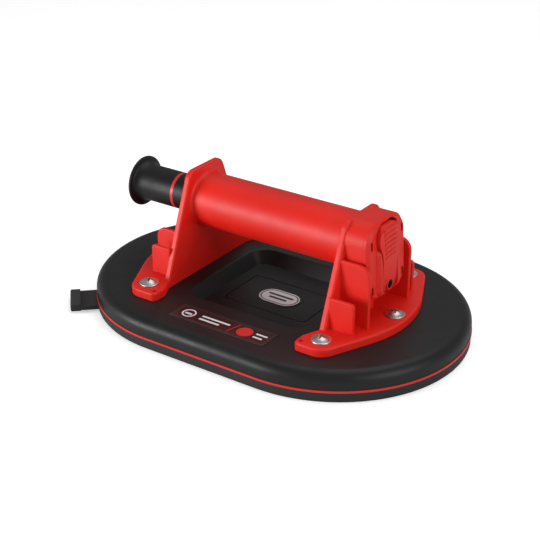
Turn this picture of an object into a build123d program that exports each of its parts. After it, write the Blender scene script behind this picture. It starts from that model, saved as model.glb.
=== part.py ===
from build123d import *
import math
import os

# Hand-pump vacuum suction lifter with an oval plate and a bar handle.
# Millimetres, +Z up. X runs along the pump, with the plunger towards -X.
# The origin is the centre of the contact face, at the bottom of the seal.

# ---------------------------------------------------------------- plate
PLATE_LENGTH = 290.0
PLATE_WIDTH = 196.0
PLATE_TOP = 22.0
END_CENTRE_X = (PLATE_LENGTH - PLATE_WIDTH) / 2
SHELL_INSET = 0.4
SHELL_BOTTOM = 9.2
SHELL_CEILING = 18.0
SHELL_WALL = 6.4
RIM_RADIUS = 8.0
SEAL_TOP = 7.6
SEAL_BAND = 22.0
SEAL_WEB_BOTTOM = 5.4
BACKING_THICKNESS = 3.0
BACKING_INSET = 6.6
GASKET_THICKNESS = 0.6

# recess in the plate, under the hand
RECESS_LENGTH = 102.0
RECESS_WIDTH = 95.0
RECESS_CORNER = 15.0
RECESS_FLOOR = 12.0
RECESS_TAPER = 32.0
ISLAND_MARGIN = 4.0
COVER_LENGTH = 70.0
COVER_WIDTH = 43.0
COVER_CORNER = 4.0
COVER_DEPTH = 1.3
COVER_GROOVE = 0.6
BADGE_LENGTH = 34.0
BADGE_WIDTH = 21.0
BADGE_THICKNESS = 0.5
LABEL_LENGTH = 80.0
LABEL_WIDTH = 19.0
LABEL_Y = -70.5
LABEL_THICKNESS = 0.25

# release tab on the rim of the seal
TAB_ANGLE = 222.5
TAB_WIDTH = 25.5
TAB_ROOT_RADIUS = 94.0
TAB_TIP_RADIUS = 117.6
TAB_Z = 4.5
TAB_THICKNESS = 3.2
TAB_BEAD_LENGTH = 7.5
TAB_BEAD_THICKNESS = 5.2

# ---------------------------------------------------------------- handle
AXIS_Z = 76.3
TUBE_RADIUS = 20.0
BORE_RADIUS = 16.5
WALL_INNER_X = 64.2
WALL_OUTER_X = 69.0
WALL_FOOT_HALF = 47.4
WALL_FOOT_Z = 28.0
WALL_LEAN = 0.386
LEFT_WALL_TOP = 102.6
RIGHT_WALL_TOP = 98.0
WALL_CORNER = 8.0
FOOT_TOP = 28.0
FOOT_ARC_RADIUS = 85.0
FOOT_REACH = 106.0
FOOT_LOBE = 12.6
SCREW_X = 73.6
SCREW_Y = 59.0
MID_SCREW_X = 96.3
RIB_THICKNESS = 3.0
WALL_EDGE_RADIUS = 1.3
RIB_EDGE_RADIUS = 0.9
FOOT_EDGE_RADIUS = 1.4
SHORT_RIB_Y = 42.0
TALL_RIB_Y = 29.0

# housing on the +X wall and its end cover
HOUSE_HALF = 24.5
HOUSE_TOP = 98.0
HOUSE_BOTTOM = 43.0
HOUSE_TOP_CORNER = 15.0
HOUSE_BOTTOM_CORNER = 12.0
HOUSE_WALL = 2.6
HOUSE_END_X = 83.0
COVER_FACE_X = 88.4
COVER_FACE_Z = 68.0
COVER_FACE_LEAN = 0.06
VENT_Z = 50.3
VENT_RADIUS = 3.35
VENT_BORE = 2.3

# ---------------------------------------------------------------- pump
PLUNGER_RADIUS = 13.6
PLUNGER_BORE = 10.8
PLUNGER_TIP_X = -124.5
BUTTON_RADIUS = 19.0
BUTTON_LIP = 2.2
INDICATOR_X = -87.8
INDICATOR_WIDTH = 2.5
INDICATOR_DEPTH = 0.8
BARREL_INNER = 14.0
BARREL_START_X = -57.0
BARREL_END_X = 44.0
PISTON_RADIUS = 13.94
PISTON_BACK_X = -56.6
PISTON_FRONT_X = -46.0
SPRING_RADIUS = 10.4
SPRING_WIRE = 1.5
SPRING_TURNS = 11
FIT_GAP = 0.05
HEAD_X = 38.0

# release valve behind the lever
BLOCK_HALF_Y = 8.5
BLOCK_BOTTOM = 46.5
BLOCK_TOP = 86.0
BLOCK_START_X = 69.3
BLOCK_STEP_X = 76.2
BLOCK_STEP_Z = 66.5
BLOCK_END_X = 80.5
DUCT_X = 72.6
DUCT_RADIUS = 3.0
DUCT_BORE = 1.8
STEM_RADIUS = 1.45
STEM_TIP_X = 83.9
POPPET_RADIUS = 3.6
POPPET_START_X = 75.4
SEAT_X = 79.0
SPRING_SEAT_X = 71.0
LUG_HALF_Y = 5.6
LEVER_PIN_X = 82.0
LEVER_PIN_Z = 58.0
LEVER_PIN_RADIUS = 1.4
LEVER_HALF = 13.6
LEVER_WAIST = 9.4
LEVER_TOP = 94.6
LEVER_BOTTOM = 46.4
LEVER_BACK = 3.6
LEVER_GAP = 0.5
OPENING_EXTRA_TOP = 1.4
TONGUE_HALF = 14.6
TONGUE_RISE = 2.3


def axis_tube(x_start, x_end, outer, inner=0.0):
    """A round bar or tube on the pump's axis."""
    middle = Pos((x_start + x_end) / 2, 0, AXIS_Z) * Rot(0, 90, 0)
    body = middle * Cylinder(outer, x_end - x_start)
    if inner > 0:
        body -= middle * Cylinder(inner, x_end - x_start + 2)
    return body


def post(x, y, z_low, z_high, outer, inner=0.0):
    """An upright round bar or tube."""
    middle = Pos(x, y, (z_low + z_high) / 2)
    body = middle * Cylinder(outer, z_high - z_low)
    if inner > 0:
        body -= middle * Cylinder(inner, z_high - z_low + 2)
    return body


def block(x_range, y_range, z_range):
    """A box between three pairs of limits."""
    centre = Pos(sum(x_range) / 2, sum(y_range) / 2, sum(z_range) / 2)
    sizes = [high - low for low, high in (x_range, y_range, z_range)]
    return centre * Box(*sizes)


def oval(inset, z_low, z_high):
    """A slab with the plate's outline, drawn in by inset."""
    face = SlotOverall(PLATE_LENGTH - 2 * inset, PLATE_WIDTH - 2 * inset)
    return extrude(Pos(0, 0, z_low) * face, amount=z_high - z_low)


def rounded_slab(length, width, corner, z_low, z_high, x=0.0, y=0.0):
    """A slab with rounded upright corners."""
    face = RectangleRounded(length, width, corner)
    return extrude(Pos(x, y, z_low) * face, amount=z_high - z_low)


def coil(start, direction, radius, wire, length, turns):
    """An open compression spring from start, along direction."""
    path = Helix(pitch=length / turns, height=length, radius=radius)
    section = Plane(path @ 0, z_dir=path % 0) * Circle(wire / 2)
    spring = sweep(section, path=path, is_frenet=True)
    return Plane(origin=start, z_dir=direction) * spring


def foot_screw_places():
    """The six screw positions, three on each foot."""
    places = []
    for side in (-1, 1):
        places.append((side * SCREW_X, -SCREW_Y))
        places.append((side * MID_SCREW_X, 0.0))
        places.append((side * SCREW_X, SCREW_Y))
    return places


def group(solids):
    """Identical pieces kept as separate solids in one node."""
    return Compound(children=list(solids))


# ================================================================ plate pieces
def base_shell():
    """Moulded top of the plate: rounded rim, hand recess, ribs and bosses."""
    shell = oval(SHELL_INSET, SHELL_BOTTOM, PLATE_TOP)
    rim = shell.edges().group_by(Axis.Z)[-1]
    shell = fillet(rim, RIM_RADIUS)
    hollow = oval(SHELL_INSET + SHELL_WALL, SHELL_BOTTOM - 1, SHELL_CEILING)
    island = rounded_slab(RECESS_LENGTH + 2 * ISLAND_MARGIN, RECESS_WIDTH + 2 * ISLAND_MARGIN,
                          RECESS_CORNER + ISLAND_MARGIN, SHELL_BOTTOM - 1, SHELL_CEILING)
    hollow -= island
    hollow -= shell_ribs()
    shell -= hollow
    shell -= oval(BACKING_INSET - FIT_GAP, SHELL_BOTTOM - 1, SEAL_TOP + BACKING_THICKNESS + GASKET_THICKNESS)
    mouth = Pos(0, 0, PLATE_TOP) * RectangleRounded(RECESS_LENGTH, RECESS_WIDTH, RECESS_CORNER)
    recess = extrude(mouth, amount=-(PLATE_TOP - RECESS_FLOOR), taper=RECESS_TAPER)
    shell -= recess
    lip = [e for e in shell.edges().filter_by_position(Axis.Z, PLATE_TOP - 0.01, PLATE_TOP + 0.01)
           if abs(e.center().X) < RECESS_LENGTH / 2 + 1 and abs(e.center().Y) < RECESS_WIDTH / 2 + 1]
    shell = fillet(lip, 1.4)
    shell -= rounded_slab(COVER_LENGTH + 2 * COVER_GROOVE, COVER_WIDTH + 2 * COVER_GROOVE,
                          COVER_CORNER + COVER_GROOVE, RECESS_FLOOR - COVER_DEPTH, RECESS_FLOOR + 1)
    for x, y in foot_screw_places():
        shell -= post(x, y, 11.0, PLATE_TOP + 1, 4.4)
    shell -= post(DUCT_X, 0, SHELL_BOTTOM, PLATE_TOP + 1, DUCT_RADIUS + FIT_GAP)
    shell -= post(DUCT_X, 0, SHELL_BOTTOM - 1, 14.1, 4.6)
    for x, y in plate_screw_places():
        shell -= post(x, y, SHELL_BOTTOM, 17.0, 1.6)
    return shell


def shell_ribs():
    """Stiffening ribs and screw bosses that stand inside the shell's hollow."""
    low, high = SHELL_BOTTOM - 2, SHELL_CEILING + 1
    ribs = block((-150, 150), (-1.2, 1.2), (low, high))
    for y in (-59.0, 59.0):
        ribs += block((-110, 110), (y - 1.2, y + 1.2), (low, high))
    for x in (-96.3, -73.6, 0.0, 73.6, 96.3):
        ribs += block((x - 1.2, x + 1.2), (-100, 100), (low, high))
    for x, y in foot_screw_places():
        ribs += post(x, y, low, high, 8.0)
    for x, y in plate_screw_places():
        ribs += post(x, y, low, high, 4.5)
    ribs += post(DUCT_X, 0, low, high, 8.0)
    return ribs


def plate_screw_places():
    """Eight screws that hold the backing plate up against the shell."""
    places = []
    for x in (-40.0, 40.0):
        for y in (-82.0, 82.0):
            places.append((x, y))
    for side in (-1, 1):
        for y in (-36.0, 36.0):
            places.append((side * 118.0, y))
    return places


def backing_gasket():
    """Thin sealing sheet between the shell and the backing plate."""
    top = SEAL_TOP + BACKING_THICKNESS + GASKET_THICKNESS
    outer = oval(BACKING_INSET, SEAL_TOP + BACKING_THICKNESS, top)
    gasket = outer - oval(BACKING_INSET + 7.0, SEAL_TOP, top + 1)
    return gasket


def backing_plate():
    """Stiff steel plate that carries the lifting load into the seal."""
    plate = oval(BACKING_INSET, SEAL_TOP, SEAL_TOP + BACKING_THICKNESS)
    middle = rounded_slab(COVER_LENGTH + 60, COVER_WIDTH + 70, 18.0, SEAL_TOP - 1, SHELL_BOTTOM + 4)
    plate -= middle
    plate -= post(DUCT_X, 0, 0, 20, 4.7)
    for x, y in plate_screw_places():
        plate -= post(x, y, 0, 20, 2.1)
    return plate


def plate_screws():
    """Pan-head thread-forming screws under the backing plate's edge."""
    screws = []
    for x, y in plate_screw_places():
        screw = post(x, y, SEAL_TOP, 16.5, 1.6)
        head = post(x, y, SEAL_TOP - 1.8, SEAL_TOP, 3.4)
        socket = post(x, y, SEAL_TOP - 2.0, SEAL_TOP - 0.8, 1.2)
        screws.append(screw + head - socket)
    return group(screws)


def accent_ring():
    """Thin red band that shows all round the plate, above the seal."""
    return oval(0.0, SEAL_TOP, SHELL_BOTTOM) - oval(BACKING_INSET - 0.4, 0, SHELL_BOTTOM + 1)


def seal_pad():
    """Rubber pad with its pull tab: broad lipped band round a shallow vacuum chamber."""
    pad = oval(0.4, 0, SEAL_TOP)
    pad = fillet(pad.edges().group_by(Axis.Z)[0], 1.6)
    pad += release_tab()
    pad -= oval(SEAL_BAND, -1, SEAL_WEB_BOTTOM)
    for inset in (7.0, 13.0):
        pad -= oval(inset, -1, 1.3) - oval(inset + 2.2, -1, 1.4)
    for x, y in plate_screw_places():
        pad -= post(x, y, SEAL_TOP - 2.0, SEAL_TOP + 1, 3.7)
    pad -= post(DUCT_X, 0, 0, SEAL_TOP + 1, 4.6)
    return pad


def tab_frame():
    """Plane at the root of the pull tab: x outward, y along the rim."""
    angle = math.radians(TAB_ANGLE)
    outward = (math.cos(angle), math.sin(angle), 0)
    root = (-END_CENTRE_X + TAB_ROOT_RADIUS * outward[0], TAB_ROOT_RADIUS * outward[1], TAB_Z)
    return Plane(origin=root, x_dir=outward, z_dir=(0, 0, 1))


def release_tab():
    """Pull tab that lifts the edge of the seal, moulded with the pad."""
    reach = TAB_TIP_RADIUS - TAB_ROOT_RADIUS
    tab = Pos(reach / 2, 0, -0.5) * Box(reach, TAB_WIDTH, TAB_THICKNESS)
    bead_x = reach - TAB_BEAD_LENGTH / 2
    tab += Pos(bead_x, 0, 0) * Box(TAB_BEAD_LENGTH, TAB_WIDTH, TAB_BEAD_THICKNESS)
    tip_edges = [e for e in tab.edges() if e.center().X > reach - 0.01]
    tab = fillet(tip_edges, 1.2)
    return tab_frame() * tab


def recess_cover():
    """Inset panel on the floor of the hand recess."""
    low = RECESS_FLOOR - COVER_DEPTH
    cover = rounded_slab(COVER_LENGTH, COVER_WIDTH, COVER_CORNER, low, RECESS_FLOOR + 0.1)
    return fillet(cover.edges().group_by(Axis.Z)[-1], 0.4)


def badge():
    """Plain oval badge plate in the middle of the recess cover."""
    low = RECESS_FLOOR + 0.1
    face = SlotOverall(BADGE_LENGTH, BADGE_WIDTH)
    plate = extrude(Pos(0, 0, low) * face, amount=BADGE_THICKNESS)
    return fillet(plate.edges().group_by(Axis.Z)[-1], 0.2)


def label_strip():
    """Printed film strip along the front of the plate."""
    top = PLATE_TOP + LABEL_THICKNESS
    return rounded_slab(LABEL_LENGTH, LABEL_WIDTH, 1.0, PLATE_TOP, top, 0.5, LABEL_Y)


# ================================================================ handle
def wall_half_width(z):
    """Half the width of a handle wall at a height."""
    return WALL_FOOT_HALF - WALL_LEAN * (z - WALL_FOOT_Z)


def handle_wall(side, top):
    """One upright end wall of the handle, narrowing towards its top, with softened edges."""
    corners = [(-wall_half_width(PLATE_TOP), PLATE_TOP), (-wall_half_width(top), top),
               (wall_half_width(top), top), (wall_half_width(PLATE_TOP), PLATE_TOP)]
    face = make_face(Polyline(*corners, close=True))
    face = fillet(face.vertices().group_by(Axis.Y)[-1], WALL_CORNER)
    start = WALL_INNER_X if side > 0 else -WALL_OUTER_X
    wall = extrude(Plane.YZ.offset(start) * face, amount=WALL_OUTER_X - WALL_INNER_X)
    return fillet(rim_edges(wall, Axis.X, PLATE_TOP), WALL_EDGE_RADIUS)


def rim_edges(solid, axis, floor_z):
    """The edges of a slab's two faces square to an axis, leaving out those on the floor."""
    groups = solid.edges().group_by(axis)
    return [e for e in groups[0] + groups[-1] if e.center().Z > floor_z + 0.5]


def foot_outline():
    """Crescent outline of the +X foot, from its inner edge to its bowed front."""
    bow = CenterArc((FOOT_REACH - FOOT_ARC_RADIUS, 0), FOOT_ARC_RADIUS, -34, 68)
    lobes = [Pos(SCREW_X, y) * Circle(FOOT_LOBE).edge() for y in (-SCREW_Y, SCREW_Y)]
    hull = make_hull([bow] + lobes)
    face = hull & (Pos(WALL_INNER_X + 40, 0) * Rectangle(80, 160))
    for side in (-1, 1):
        corners = [(WALL_INNER_X, side * 48.0), (59.0, side * 59.5), (59.0, side * 71.4),
                   (SCREW_X, side * (SCREW_Y + FOOT_LOBE)), (SCREW_X, side * 48.0)]
        tip = make_face(Polyline(*corners, close=True))
        tip = fillet(tip.vertices().group_by(Axis.X)[0], 4.0)
        face += tip
    return face


def foot():
    """Flanged foot of the +X wall, with its three screw holes and two dimples."""
    slab = extrude(Pos(0, 0, PLATE_TOP) * foot_outline(), amount=FOOT_TOP - PLATE_TOP)
    slab = fillet(slab.edges().group_by(Axis.Z)[-1], FOOT_EDGE_RADIUS)
    for x, y in ((SCREW_X, -SCREW_Y), (MID_SCREW_X, 0), (SCREW_X, SCREW_Y)):
        slab -= post(x, y, 0, 40, 3.3)
    for y in (-67.0, 67.0):
        slab -= post(62.5, y, FOOT_TOP - 1.6, FOOT_TOP + 1, 1.5)
    return slab


def gusset(y_face, reach, top, corner):
    """A pair of upright ribs between the +X wall and its foot."""
    ribs = []
    for sign in (-1, 1):
        face = Pos((WALL_OUTER_X - 1 + reach) / 2, (FOOT_TOP - 1 + top) / 2) * Rectangle(
            reach - WALL_OUTER_X + 1, top - FOOT_TOP + 1)
        outer = face.vertices().group_by(Axis.Y)[-1].sort_by(Axis.X)[-1]
        face = fillet(outer, corner)
        rib = extrude(Plane.XZ * face, amount=RIB_THICKNESS / 2, both=True)
        rib = fillet(rim_edges(rib, Axis.Y, FOOT_TOP - 1), RIB_EDGE_RADIUS)
        ribs.append(Pos(0, sign * (y_face - RIB_THICKNESS / 2), 0) * rib)
    return ribs[0] + ribs[1]


def house_face(inset=0.0):
    """Arched outline of the housing in the YZ plane."""
    half = HOUSE_HALF - inset
    low, high = HOUSE_BOTTOM + inset, HOUSE_TOP - inset
    face = Pos(0, (low + high) / 2) * Rectangle(2 * half, high - low)
    face = fillet(face.vertices().group_by(Axis.Y)[-1], HOUSE_TOP_CORNER - inset)
    return fillet(face.vertices().group_by(Axis.Y)[0], HOUSE_BOTTOM_CORNER - inset)


def house_slab(x_start, x_end, inset=0.0):
    """The housing's outline drawn out along X."""
    return extrude(Plane.YZ.offset(x_start) * house_face(inset), amount=x_end - x_start)


def handle_body():
    """Red one-piece moulding: grip tube, both walls, ribs, feet and housing."""
    body = axis_tube(-WALL_OUTER_X, WALL_OUTER_X, TUBE_RADIUS)
    body += handle_wall(-1, LEFT_WALL_TOP)
    body += handle_wall(1, RIGHT_WALL_TOP)
    joints = [e for e in body.edges().filter_by(GeomType.CIRCLE)
              if abs(e.radius - TUBE_RADIUS) < 0.01 and abs(abs(e.center().X) - WALL_INNER_X) < 0.1]
    body = fillet(joints, 2.6)
    right = foot() + gusset(SHORT_RIB_Y, 87.6, 50.5, 3.0) + gusset(TALL_RIB_Y, 91.6, 73.6, 9.0)
    left = foot() + gusset(SHORT_RIB_Y, 84.6, 49.5, 3.0) + gusset(TALL_RIB_Y, 89.6, 57.5, 7.0)
    body += right
    body += mirror(left, about=Plane.YZ)
    body += house_slab(WALL_OUTER_X - 1, HOUSE_END_X)
    body -= house_slab(WALL_OUTER_X, HOUSE_END_X + 1, HOUSE_WALL)
    body += post(DUCT_X, 0, PLATE_TOP, HOUSE_BOTTOM + HOUSE_WALL, 5.6)
    body -= post(DUCT_X, 0, PLATE_TOP - 1, HOUSE_BOTTOM + HOUSE_WALL + 1, DUCT_RADIUS + FIT_GAP)
    body -= post(DUCT_X, 0, PLATE_TOP - 1, PLATE_TOP + 1.8, 4.6)
    body -= axis_tube(-WALL_OUTER_X - 1, WALL_OUTER_X + 1, BORE_RADIUS)
    return body


def foot_screws():
    """Six flanged dome-head screws that hold the handle's feet down."""
    screws = []
    for x, y in foot_screw_places():
        head = post(x, y, FOOT_TOP, FOOT_TOP + 3.4, 7.1)
        head = fillet(head.edges().group_by(Axis.Z)[-1], 3.0)
        head -= Pos(x, y, FOOT_TOP + 1.2) * extrude(RegularPolygon(2.4, 6), amount=4)
        screws.append(head + post(x, y, 12.5, FOOT_TOP, 2.95))
    return group(screws)


def threaded_inserts():
    """Brass inserts in the shell's bosses, one for each foot screw."""
    return group([post(x, y, 11.2, PLATE_TOP - 0.4, 4.35, 3.0) for x, y in foot_screw_places()])


# ================================================================ pump
def plunger():
    """Hollow black plunger with a flared palm button."""
    tip = PLUNGER_TIP_X
    shaft = axis_tube(tip + 8, PISTON_BACK_X - 0.1, PLUNGER_RADIUS)
    lip = axis_tube(tip, tip + BUTTON_LIP, BUTTON_RADIUS)
    lip = fillet(lip.edges(), 0.9)
    flare_end = tip + 13.0
    top = AXIS_Z + PLUNGER_RADIUS
    start = (tip + BUTTON_LIP - 0.6, 0, AXIS_Z + BUTTON_RADIUS - 1.0)
    curve = Line((start[0], 0, AXIS_Z), start)
    bend = ThreePointArc(start, (tip + 5.0, 0, top + 1.2), (flare_end, 0, top))
    back = Line((flare_end, 0, top), (flare_end, 0, AXIS_Z))
    base = Line((flare_end, 0, AXIS_Z), (start[0], 0, AXIS_Z))
    flare = revolve(make_face([curve, bend, back, base]), axis=Axis((0, 0, AXIS_Z), (1, 0, 0)))
    body = shaft + lip + flare
    body -= axis_tube(tip + 4.5, PISTON_BACK_X + 1, PLUNGER_BORE)
    groove = axis_tube(INDICATOR_X - INDICATOR_WIDTH / 2, INDICATOR_X + INDICATOR_WIDTH / 2,
                       PLUNGER_RADIUS + 1, PLUNGER_RADIUS - INDICATOR_DEPTH)
    body -= groove
    body -= Pos(PISTON_BACK_X - 5, 0, AXIS_Z) * Rot(90, 0, 0) * Cylinder(1.5, 40)
    return body


def indicator_ring():
    """Red ring that warns of lost vacuum while it shows."""
    return axis_tube(INDICATOR_X - INDICATOR_WIDTH / 2, INDICATOR_X + INDICATOR_WIDTH / 2,
                     PLUNGER_RADIUS, PLUNGER_RADIUS - INDICATOR_DEPTH)


def piston():
    """Piston head with a spigot in the plunger's bore."""
    head = axis_tube(PISTON_BACK_X, PISTON_FRONT_X, PISTON_RADIUS)
    head -= axis_tube(-51.5, -48.0, PISTON_RADIUS + 1, 11.4)
    spigot = axis_tube(PISTON_BACK_X - 11, PISTON_BACK_X, PLUNGER_BORE - FIT_GAP)
    body = head + spigot
    body -= axis_tube(PISTON_BACK_X - 12, PISTON_FRONT_X - 3, 6.5)
    body -= Pos(PISTON_BACK_X - 5, 0, AXIS_Z) * Rot(90, 0, 0) * Cylinder(1.5, 40)
    return body


def piston_seal():
    """Lip seal in the piston's groove."""
    ring = axis_tube(-51.4, -48.1, BARREL_INNER - FIT_GAP, 11.4)
    return ring - axis_tube(-49.6, -47.0, 13.2, 12.0)


def piston_pin():
    """Cross pin that locks the piston in the plunger."""
    return Pos(PISTON_BACK_X - 5, 0, AXIS_Z) * Rot(90, 0, 0) * Cylinder(1.5, 26.0)


def guide_bush():
    """Bush that guides the plunger through the -X wall."""
    bush = axis_tube(-WALL_OUTER_X, BARREL_START_X, BORE_RADIUS, PLUNGER_RADIUS + FIT_GAP)
    return bush - axis_tube(-66.0, -63.5, 15.2, PLUNGER_RADIUS)


def plunger_wiper():
    """Soft ring in the guide bush that keeps dust out of the pump."""
    return axis_tube(-66.0, -63.5, 15.2, PLUNGER_RADIUS + FIT_GAP)


def pump_barrel():
    """Smooth liner tube in which the piston runs."""
    return axis_tube(BARREL_START_X, BARREL_END_X, BORE_RADIUS, BARREL_INNER)


def barrel_head():
    """Plug that closes the barrel and carries the intake valve."""
    spigot = axis_tube(HEAD_X, BARREL_END_X, BARREL_INNER)
    spigot -= axis_tube(40.0, 42.4, BARREL_INNER + 1, 12.2)
    plug = axis_tube(BARREL_END_X, WALL_OUTER_X, BORE_RADIUS)
    plug -= axis_tube(52.0, 54.4, BORE_RADIUS + 1, 14.7)
    plug -= axis_tube(57.0, 62.0, BORE_RADIUS + 1, 11.0)
    body = spigot + plug
    body -= axis_tube(HEAD_X - 1, HEAD_X + 2, 1.2)
    body -= axis_tube(HEAD_X + 1.4, WALL_OUTER_X + 1, 2.0)
    body -= axis_tube(WALL_OUTER_X - 2.0, WALL_OUTER_X + 1, 4.6)
    for turn in range(4):
        angle = math.radians(45 + 90 * turn)
        port = Pos(0, 5.4 * math.cos(angle), 5.4 * math.sin(angle))
        body -= port * axis_tube(HEAD_X - 1, HEAD_X + 2.5, 1.1)
    body -= axis_tube(HEAD_X + 1.4, HEAD_X + 2.6, 6.6)
    return body


def head_o_rings():
    """Two O-rings that seal the head in the barrel and the handle."""
    return group([axis_tube(40.1, 42.3, BARREL_INNER, 12.2), axis_tube(52.1, 54.3, BORE_RADIUS, 14.7)])


def intake_valve():
    """Rubber umbrella valve that lets air out of the chamber into the barrel."""
    disc = axis_tube(HEAD_X - 1.0, HEAD_X, 8.0)
    stalk = axis_tube(HEAD_X, HEAD_X + 1.4, 1.2)
    return disc + stalk + axis_tube(HEAD_X + 1.4, HEAD_X + 2.4, 1.8)


def return_spring():
    """Long compression spring that pushes the plunger back out."""
    start_x = PISTON_FRONT_X + SPRING_WIRE / 2 + 0.1
    end_x = HEAD_X - SPRING_WIRE / 2 - 0.1
    return coil((start_x, 0, AXIS_Z), (1, 0, 0), SPRING_RADIUS, SPRING_WIRE, end_x - start_x, SPRING_TURNS)


# ================================================================ release valve
def valve_block():
    """Block that joins the pump, the duct, the release valve and the lever."""
    body = block((BLOCK_START_X, BLOCK_END_X), (-BLOCK_HALF_Y, BLOCK_HALF_Y), (BLOCK_BOTTOM, BLOCK_TOP))
    body = fillet(body.edges().filter_by(Axis.X), 2.0)
    step = block((BLOCK_STEP_X, 95), (-20, 20), (BLOCK_BOTTOM - 1, BLOCK_STEP_Z))
    body -= step
    for y in (-1, 1):
        lug_y = sorted((y * LUG_HALF_Y, y * BLOCK_HALF_Y))
        lug = block((BLOCK_STEP_X - 1, 84.6), lug_y, (LEVER_PIN_Z - 3, LEVER_PIN_Z + 3))
        body += lug
    body -= Pos(LEVER_PIN_X, 0, LEVER_PIN_Z) * Rot(90, 0, 0) * Cylinder(LEVER_PIN_RADIUS, 40)
    body += axis_tube(BLOCK_START_X - 2.2, BLOCK_START_X, 4.5)
    body -= axis_tube(BLOCK_START_X - 3, SPRING_SEAT_X + 1, 0.9)
    body -= axis_tube(SPRING_SEAT_X, SEAT_X - 2, 2.0)
    body -= axis_tube(POPPET_START_X - 1.9, SEAT_X, 4.2)
    body -= axis_tube(SEAT_X - 1, BLOCK_END_X + 1, STEM_RADIUS + FIT_GAP)
    body -= post(DUCT_X, 0, BLOCK_BOTTOM - 1, AXIS_Z, DUCT_BORE)
    body -= post(DUCT_X, 0, BLOCK_BOTTOM - 1, BLOCK_BOTTOM + 4, DUCT_RADIUS)
    for y, z in block_screw_places():
        face_x = BLOCK_STEP_X if z < BLOCK_STEP_Z else BLOCK_END_X
        body -= Pos(0, y, z - AXIS_Z) * axis_tube(BLOCK_START_X - 1, face_x, 1.2)
        body -= Pos(0, y, z - AXIS_Z) * axis_tube(face_x - 1.4, face_x + 1, 2.1)
    return body


def block_screw_places():
    """The (y, z) positions of the valve block's four screws."""
    return [(y, z) for z in (62.6, 83.4) for y in (-6.0, 6.0)]


def valve_block_screws():
    """Four small countersunk screws that fix the valve block to the wall."""
    screws = []
    for y, z in block_screw_places():
        face_x = BLOCK_STEP_X if z < BLOCK_STEP_Z else BLOCK_END_X
        shank = axis_tube(WALL_OUTER_X, face_x - 1.4, 1.2)
        screw = shank + axis_tube(face_x - 1.4, face_x, 2.1)
        screws.append(Pos(0, y, z - AXIS_Z) * screw)
    return group(screws)


def release_stem():
    """Poppet stem that the lever pushes off its seat."""
    poppet = axis_tube(POPPET_START_X, POPPET_START_X + 1.8, POPPET_RADIUS)
    return poppet + axis_tube(POPPET_START_X + 1.8, STEM_TIP_X, STEM_RADIUS)


def release_seal():
    """Rubber washer between the poppet and its seat."""
    return axis_tube(POPPET_START_X + 1.8, SEAT_X, POPPET_RADIUS, STEM_RADIUS)


def release_spring():
    """Small spring that shuts the release valve."""
    wire = 0.5
    start_x = SPRING_SEAT_X + wire / 2 + 0.05
    length = POPPET_START_X - wire - 0.1 - SPRING_SEAT_X
    return coil((start_x, 0, AXIS_Z), (1, 0, 0), 1.4, wire, length, 4)


def vacuum_duct():
    """Tube that leads from the valve block down to the suction port."""
    return post(DUCT_X, 0, 11.0, BLOCK_BOTTOM + 4, DUCT_RADIUS, DUCT_BORE)


def duct_o_ring():
    """O-ring that seals the duct between the handle's foot and the plate."""
    return post(DUCT_X, 0, PLATE_TOP, PLATE_TOP + 1.7, 4.6, DUCT_RADIUS)


def suction_port():
    """Flanged hollow nut that clamps the pad round the suction hole."""
    neck = post(DUCT_X, 0, 4.2, 14.0, 4.5)
    flange = post(DUCT_X, 0, 3.4, SEAL_WEB_BOTTOM, 9.0)
    body = neck + flange
    body -= post(DUCT_X, 0, 0, 20, DUCT_BORE)
    body -= post(DUCT_X, 0, 11.0, 20, DUCT_RADIUS)
    return body - post(DUCT_X, 0, 3.0, 4.4, 6.0)


def suction_filter():
    """Porous disc that keeps dust out of the duct."""
    return post(DUCT_X, 0, 3.5, 4.4, 6.0)


# ================================================================ end cover and lever
def cover_face_x(z):
    """Where the leaning outer face of the end cover lies at a height."""
    return COVER_FACE_X - COVER_FACE_LEAN * (z - COVER_FACE_Z)


def leaning_cutter(offset):
    """Everything beyond the cover's leaning face, moved out by offset."""
    low, high = HOUSE_BOTTOM - 10, HOUSE_TOP + 10
    far = 130.0
    near_low, near_high = cover_face_x(low) + offset, cover_face_x(high) + offset
    return side_slab([(near_low, low), (far, low), (far, high), (near_high, high)])


def lever_outline(gap, extra_top):
    """Lever outline in the YZ plane, wide at the top and slender below, grown by gap."""
    wide, waist = LEVER_HALF + gap, LEVER_WAIST + gap
    top, bottom = LEVER_TOP + gap + extra_top, LEVER_BOTTOM - gap
    right = Spline((wide, 85.0), (wide - 1.1, 80.5), (waist + 0.5, 73.0), (waist, 68.0),
                   tangents=((0, -1), (0, -1)))
    lower = Polyline((waist, 68.0), (waist, bottom), (-waist, bottom), (-waist, 68.0))
    upper = Polyline((wide, 85.0), (wide, top), (-wide, top), (-wide, 85.0))
    face = make_face([right, mirror(right, about=Plane.YZ), lower, upper])
    face = fillet(face.vertices().group_by(Axis.Y)[-1], 8.5)
    return fillet(face.vertices().group_by(Axis.Y)[0], 4.0)


def tongue():
    """Raised band on the cover, round the slender part of the lever."""
    low, high = HOUSE_BOTTOM + 1.6, 80.0
    face = Pos(0, (low + high) / 2) * Rectangle(2 * TONGUE_HALF, high - low)
    face = fillet(face.vertices(), 5.0)
    band = extrude(Plane.YZ.offset(HOUSE_END_X) * face, amount=20) - leaning_cutter(TONGUE_RISE)
    rim = [e for e in band.edges() if e.center().X > HOUSE_END_X + 2 and abs(e.tangent_at(0.5).X) < 0.5]
    return chamfer(rim, TONGUE_RISE - 0.2)


def side_slab(points):
    """A closed (x, z) profile drawn out to both sides in Y."""
    return extrude(Plane.XZ * make_face(Polyline(*points, close=True)), amount=40, both=True)


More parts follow.
